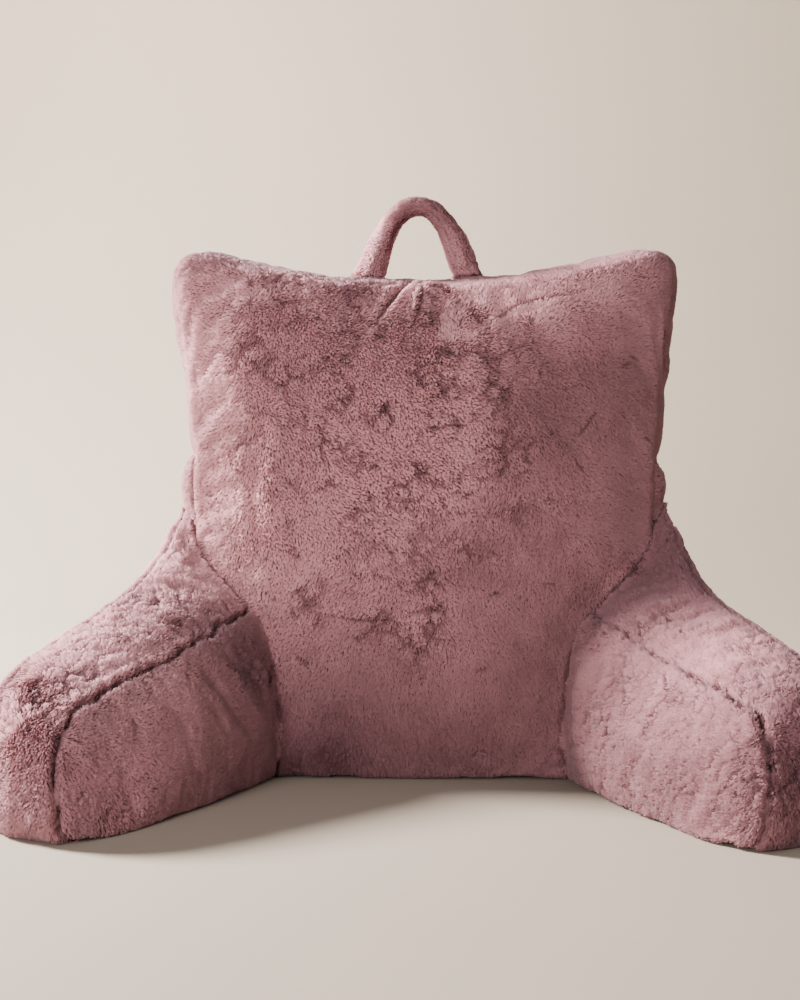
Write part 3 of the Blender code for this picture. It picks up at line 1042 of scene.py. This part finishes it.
def build_stage():
    """A pale floor that sweeps up into a backdrop."""
    bend, floor_end, size = 1.1, 1.2, 6.0
    turns = [math.pi / 2.0 * step / 16.0 for step in range(17)]
    profile = [(-size, 0.0), *((floor_end + bend * math.sin(turn), bend - bend * math.cos(turn))
                               for turn in turns), (floor_end + bend, size)]
    vertices = [(x, y, z) for y, z in profile for x in (-size, size)]
    faces = [(2 * row, 2 * row + 1, 2 * row + 3, 2 * row + 2) for row in range(len(profile) - 1)]
    mesh = bpy.data.meshes.new("backdrop")
    mesh.from_pydata(vertices, [], faces)
    mesh.shade_smooth()
    mesh.materials.append(backdrop_material())
    new_object("backdrop", mesh)


def soft_light(name, place, target, size, power, colour):
    light = bpy.data.lights.new(name, 'AREA')
    light.shape = 'DISK'
    light.size = size
    light.energy = power
    light.color = colour
    item = new_object(name, light)
    item.location = place
    item.rotation_euler = (Vector(target) - Vector(place)).to_track_quat('-Z', 'Y').to_euler()


def light_scene():
    """A faint glow from the front right, the key, the fill and a light on the backdrop."""
    look = Look(bpy.data.worlds.new("studio"), color=(1.0, 0.985, 0.97, 1.0))
    bpy.context.scene.world = look.owner
    towards = look.add("VectorMath", vector=look.add("TexCoord").outputs["Generated"])
    towards.operation = 'DOT_PRODUCT'
    towards.inputs[1].default_value = Vector((0.80, -0.50, 0.30)).normalized()
    glow = look.add("MapRange", value=towards.outputs["Value"], from_min=-0.10, from_max=1.0,
                    to_min=0.03, to_max=0.60)
    glow.interpolation_type = 'SMOOTHSTEP'
    look.set(look.shader, strength=glow.outputs["Result"])
    soft_light("key", (-1.98, 0.61, 1.45), (0.0, 0.0, 0.20), 0.7, 215.0, (1.0, 0.99, 0.97))
    soft_light("fill", (-0.82, -2.24, 0.64), (0.0, 0.0, 0.20), 1.1, 40.0, (0.98, 0.99, 1.0))
    soft_light("backdrop light", (-0.8, 0.7, 1.6), (0.1, 2.3, 1.4), 1.2, 36.0, (1.0, 0.97, 0.90))


def place_camera():
    camera = bpy.data.cameras.new("camera")
    camera.sensor_width = 36.0
    camera.lens = 64.8
    item = new_object("camera", camera)
    item.location = (0.052, -1.5075, 0.316)
    item.rotation_euler = (math.radians(90.0 - 2.64), 0.0, math.radians(2.58))
    bpy.context.scene.camera = item


# ---------------- the pillow

def hidden_by(skin, others):
    """1 where the pile would stand inside another piece's cover, else 0."""
    tips = skin.places + skin.normals * FIBRE_RISE
    depth = np.min([distance_to(other.tree, tips, 0.008) for other in others], axis=0)
    return smooth_step(depth, -0.0004, -0.0022)


def on_floor(skin):
    """1 on the flat base that the piece stands on, else 0."""
    return smooth_step(skin.normals[:, 2], -0.80, -0.96) * (skin.places[:, 2] < 0.008)


def joint(node):
    """Points on the line where a sewn-on piece meets the backrest, in no order."""
    places, triangles = CAD[node]
    sewn = is_sewn(node)
    rim = np.intersect1d(triangles[sewn], triangles[~sewn])
    rim = rim[places[rim, 2] > 0.002]
    edges = np.vstack([triangles[~sewn][:, pair] for pair in ((0, 1), (1, 2), (2, 0))])
    edges = edges[np.isin(edges, rim).all(axis=1)]
    start, end = places[edges[:, 0]], places[edges[:, 1]]
    length = norm(end - start, axis=1).max()
    steps = np.arange(0.0, 1.0, min(0.5, CURVE_STEP / length))
    return np.vstack([start + (end - start) * step for step in steps])


def lower_cover(item, skin):
    """Move the shown cover below the fibres' roots and into the seams."""
    places, triangles = arrays_of(item.data)
    normals = vertex_normals(places, triangles)
    lift, _, _, crack, _ = relief_of(skin, places, normals)
    # The crack value, which the ground's material turns into painted shade
    put(item.data.attributes.new("crack", 'FLOAT', 'POINT').data, "value", crack)
    places += normals * (lift - COVER_DROP)[:, None]
    places[:, 2] = np.maximum(places[:, 2], BASE_LIFT)
    put(item.data.vertices, "co", places)
    item.data.update()


def finish_cover(item, skin, material):
    lower_cover(item, skin)
    item.data.materials.clear()
    item.data.materials.append(material)
    item.data.shade_smooth()
    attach(item, "root")
    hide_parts(skin.node)


def mark(skin):
    """Press the creases and rolls of its piece into the skin."""
    for (piece, side), rows in CREASES.items():
        if piece == skin.node:
            for depth, width, lip, path in rows:
                skin.add_crease(side, depth / MM, width / MM, lip / MM, path)


def backrest_cover():
    seams = backrest_seams()
    item = filled_cover("backrest", seams)
    skin = Skin("backrest", item)
    for seam in seams:
        strength = 0.25 + 0.75 * smooth_step(seam[:, 2], 0.31, 0.27)
        strength *= np.where(seam[:, 0] < 0.0, 1.0, 0.45)
        skin.add_seam(seam, strength, wander=0.0012, broken=0.4, depth=0.0018, width=0.0026,
                      parting=0.45, bare=0.0004)
    for node in ("arm_left", "arm_right", "handle"):
        skin.add_seam(joint(node), 1.0, depth=-0.0015, width=0.0040, ordered=False)
    mark(skin)
    skin.add_cracks(150, (0.0, -1.0, 0.0), 501)
    skin.add_cracks(30, (0.0, 1.0, 0.0), 502)
    return item, skin


def arm_cover(node):
    arm = ARMS[node]
    inner, outer = seams = arm_seams(node)
    item = filled_cover(node, seams)
    skin = Skin(node, item)
    along = arm.from_frame(inner)[:, 0]
    if node == "arm_left":
        deep, broken = 0.85 + 0.15 * smooth_step(along, 0.04, 0.20), 0.15
    else:
        deep, broken = 0.35 + 0.65 * smooth_step(along, 0.09, 0.20), 0.55
    skin.add_seam(inner, deep, wander=0.0024, broken=broken, depth=0.0075, width=0.0026,
                  lip=0.0014, parting=0.55, bare=0.0006)
    skin.add_seam(outer, 0.8, wander=0.0014, broken=0.5, depth=0.0016, width=0.0026,
                  parting=0.40, bare=0.0004)
    skin.add_seam(joint(node), 1.0, depth=-0.0015, width=0.0040, ordered=False)
    mark(skin)
    skin.add_cracks(30, arm.turned_to_frame((0.0, -1.0, 0.0)), 511)
    skin.add_cracks(35, arm.turned_to_frame((0.2, -0.2, 0.9)), 512)
    return item, skin


def handle_cover():
    item = object_of("handle_cover", *drawn_in("handle", HANDLE_PILE_DEPTH))
    skin = Skin("handle", item, 2)
    leg = np.array(LOOP_LEG) / MM
    path = open_curve(np.vstack((leg * (-1.0, 1.0, 1.0), leg[-2::-1])))
    centre = np.column_stack((path[:, 0] + LOOP_X, np.full(len(path), LOOP_Y), path[:, 1]))
    inward = unit(np.array((LOOP_X, LOOP_Y, 0.455)) - centre)
    ridge = centre + inward * (0.35 * path[:, 2:]) - np.array((0.0, 1.0, 0.0)) * path[:, 2:]
    skin.add_seam(ridge, 0.6, wander=0.0008, broken=0.6, depth=0.0010, width=0.0016,
                  parting=0.20)
    skin.add_seam(joint("handle"), 1.0, depth=0.0012, width=0.0020, parting=0.20, bare=0.0003,
                  ordered=False)
    mark(skin)
    return item, skin


def around_loop(places, normals):
    """The brushed direction round the carrying loop."""
    spoke = places - np.array((LOOP_X, LOOP_Y, LOOP_LEG[0][1] / MM))
    spoke[:, 1] = 0.0
    along = unit(np.cross(spoke, np.array((0.0, 1.0, 0.0))))
    return unit(flat_to(along + 0.5 * noise_vector(places, 0.02, 81), normals))


def backrest_pile(skin, seen, pile):
    plane = FRONT_FOOT + LEAN * (skin.places[:, 2] + SETTLE) / EAR_HEIGHT
    front = smooth_step(plane - skin.places[:, 1], -0.0015, 0.0015)
    rear = smooth_step(skin.places[:, 1] - REAR_PLANE, -0.0015, 0.0015)
    upper = smooth_step(skin.places[:, 2], 0.2285, 0.2315)
    wide = FIBRE_WIDTH * 1.35
    zones = (
        # pile piece, where it grows, kind of brushing, width
        ("backrest_front_upper_pile", front * upper, "front", FIBRE_WIDTH),
        ("backrest_front_lower_pile", front * (1.0 - upper), "front", FIBRE_WIDTH),
        ("backrest_rear_pile", rear, "rear", wide),
        ("backrest_side_pile", 1.0 - np.maximum(front, rear), "side", wide),
    )
    for number, (name, zone, kind, width) in enumerate(zones):
        grow_pile(name, skin, zone * seen, pile, 100 + number, width=width, kind=kind)


def build_pillow():
    ground = cover_material()
    pile = pile_material()
    covers = {"backrest": backrest_cover(), "arm_right": arm_cover("arm_right"),
              "arm_left": arm_cover("arm_left"), "handle": handle_cover()}
    backrest, *sewn_on = [skin for item, skin in covers.values()]
    for number, (node, (item, skin)) in enumerate(covers.items()):
        others = sewn_on if skin is backrest else [backrest]
        seen = (1.0 - hidden_by(skin, others)) * (1.0 - on_floor(skin))
        if node == "backrest":
            backrest_pile(skin, seen, pile)
        elif node == "handle":
            grow_pile("handle_pile", skin, seen, pile, 300, rise=0.0015, reach=0.0022,
                      width=0.00070, flow=around_loop)
        else:
            inner = -skin.normals @ ARMS[node].axes[1]
            weight = 0.6 + 0.4 * smooth_step(inner, -0.6, -0.1)
            grow_pile(node + "_pile", skin, seen * weight, pile, 200 + number,
                      width=FIBRE_WIDTH * 1.15)
    for node, (item, skin) in covers.items():
        finish_cover(item, skin, ground)


def main():
    view = bpy.context.scene.view_settings
    view.view_transform = 'AgX'
    view.look = 'AgX - Medium High Contrast'
    build_pillow()
    build_stage()
    light_scene()
    place_camera()


main()
